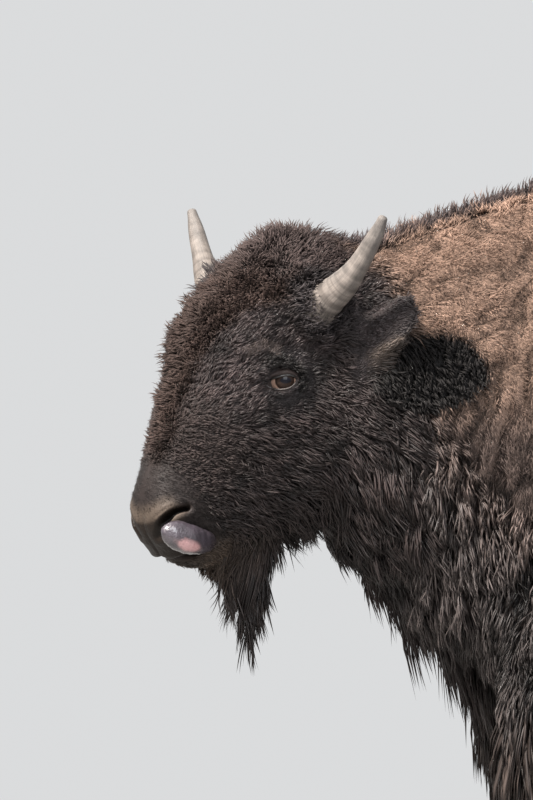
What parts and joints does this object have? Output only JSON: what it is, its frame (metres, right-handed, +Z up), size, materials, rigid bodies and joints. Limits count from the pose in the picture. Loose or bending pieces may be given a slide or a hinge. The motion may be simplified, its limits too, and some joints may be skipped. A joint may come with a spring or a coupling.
{
  "type": "young american bison",
  "caption": "Standing young bison with a shaggy shoulder hump, short upright horns, a small beard and its tongue curled up to the nostril.",
  "frame": {"origin": "on the floor, at the bottom centre of the bounding box", "axes": "+Z up, +Y towards the tail, the animal faces -Y, and its left side is +X"},
  "size_m": [0.5052, 1.743, 1.2953],
  "materials": {
    "head_coat": "short to woolly dark brown-black hair",
    "body_coat": "dense crimped brown wool",
    "leg_coat": "short dark brown hair",
    "horn_keratin": "dull grey horn with fine lengthwise grain",
    "hoof_keratin": "dull black horn",
    "eye_wet": "wet dark brown",
    "tongue_wet": "wet grey-purple, pink in the middle"
  },
  "bodies": {
    "root": {"beard": "head_coat", "ear_left": "head_coat", "ear_right": "head_coat", "eye_left": "eye_wet", "eye_right": "eye_wet", "foreleg_left": "leg_coat", "foreleg_right": "leg_coat", "head": "head_coat", "hindleg_left": "leg_coat", "hindleg_right": "leg_coat", "hoof_fore_left": "hoof_keratin", "hoof_fore_right": "hoof_keratin", "hoof_hind_left": "hoof_keratin", "hoof_hind_right": "hoof_keratin", "horn_left": "horn_keratin", "horn_right": "horn_keratin", "lower_jaw": "head_coat", "neck": "body_coat", "tail": "head_coat", "tongue": "tongue_wet", "trunk": "body_coat"}
  },
  "joints": []
}
